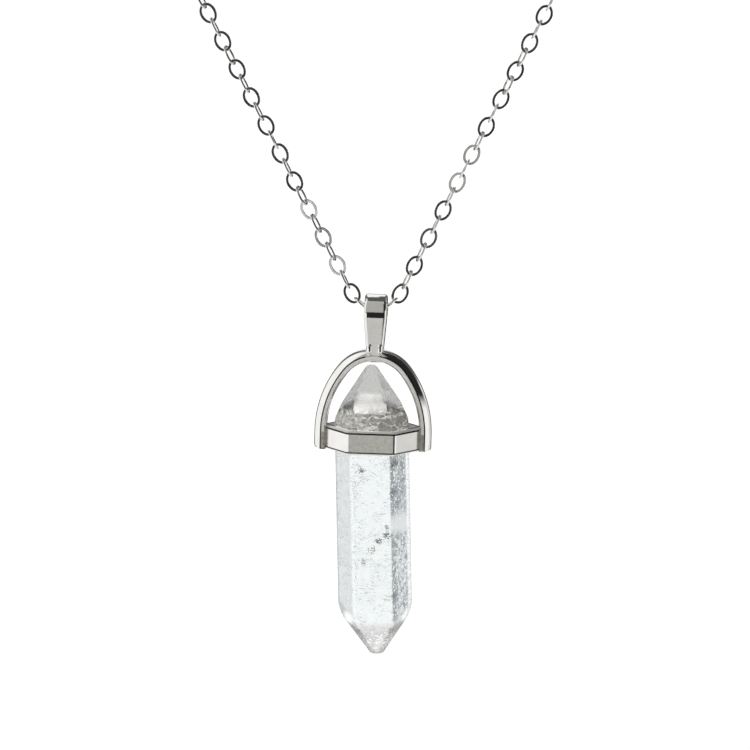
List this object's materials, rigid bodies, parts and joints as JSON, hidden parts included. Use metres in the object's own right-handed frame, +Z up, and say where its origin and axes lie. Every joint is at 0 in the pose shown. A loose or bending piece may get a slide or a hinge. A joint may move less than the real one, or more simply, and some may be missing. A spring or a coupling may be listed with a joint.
{
  "type": "crystal point pendant necklace",
  "caption": "Double-ended hexagonal quartz point in a polished arched cap with a tapered bail, hanging on a fine oval-link cable chain that closes with a round clasp at the nape.",
  "frame": {"origin": "on the chain's line at the middle of the nape, where a neck or a hook carries the necklace", "axes": "+Z up, -Y towards the viewer in front, +X to the viewer's right; the half circle round the nape lies level at Z 0 and the pendant hangs below the front"},
  "size_m": [0.112, 0.0915, 0.1484],
  "materials": {
    "cap_metal": "polished",
    "quartz": "polished",
    "chain_metal": "polished"
  },
  "bodies": {
    "necklace": {"chain_left": "chain_metal", "chain_right": "chain_metal", "ring_left": "chain_metal", "ring_right": "chain_metal", "clasp": "chain_metal"},
    "pendant": {"setting": "cap_metal", "crystal": "quartz"}
  },
  "joints": [
    {"name": "pendant_swing", "type": "hinge", "parent": "necklace", "child": "pendant", "pos_m": [0, -0.08513, -0.10485], "axis": [1, 0, 0], "range_deg": [-90, 90]}
  ]
}
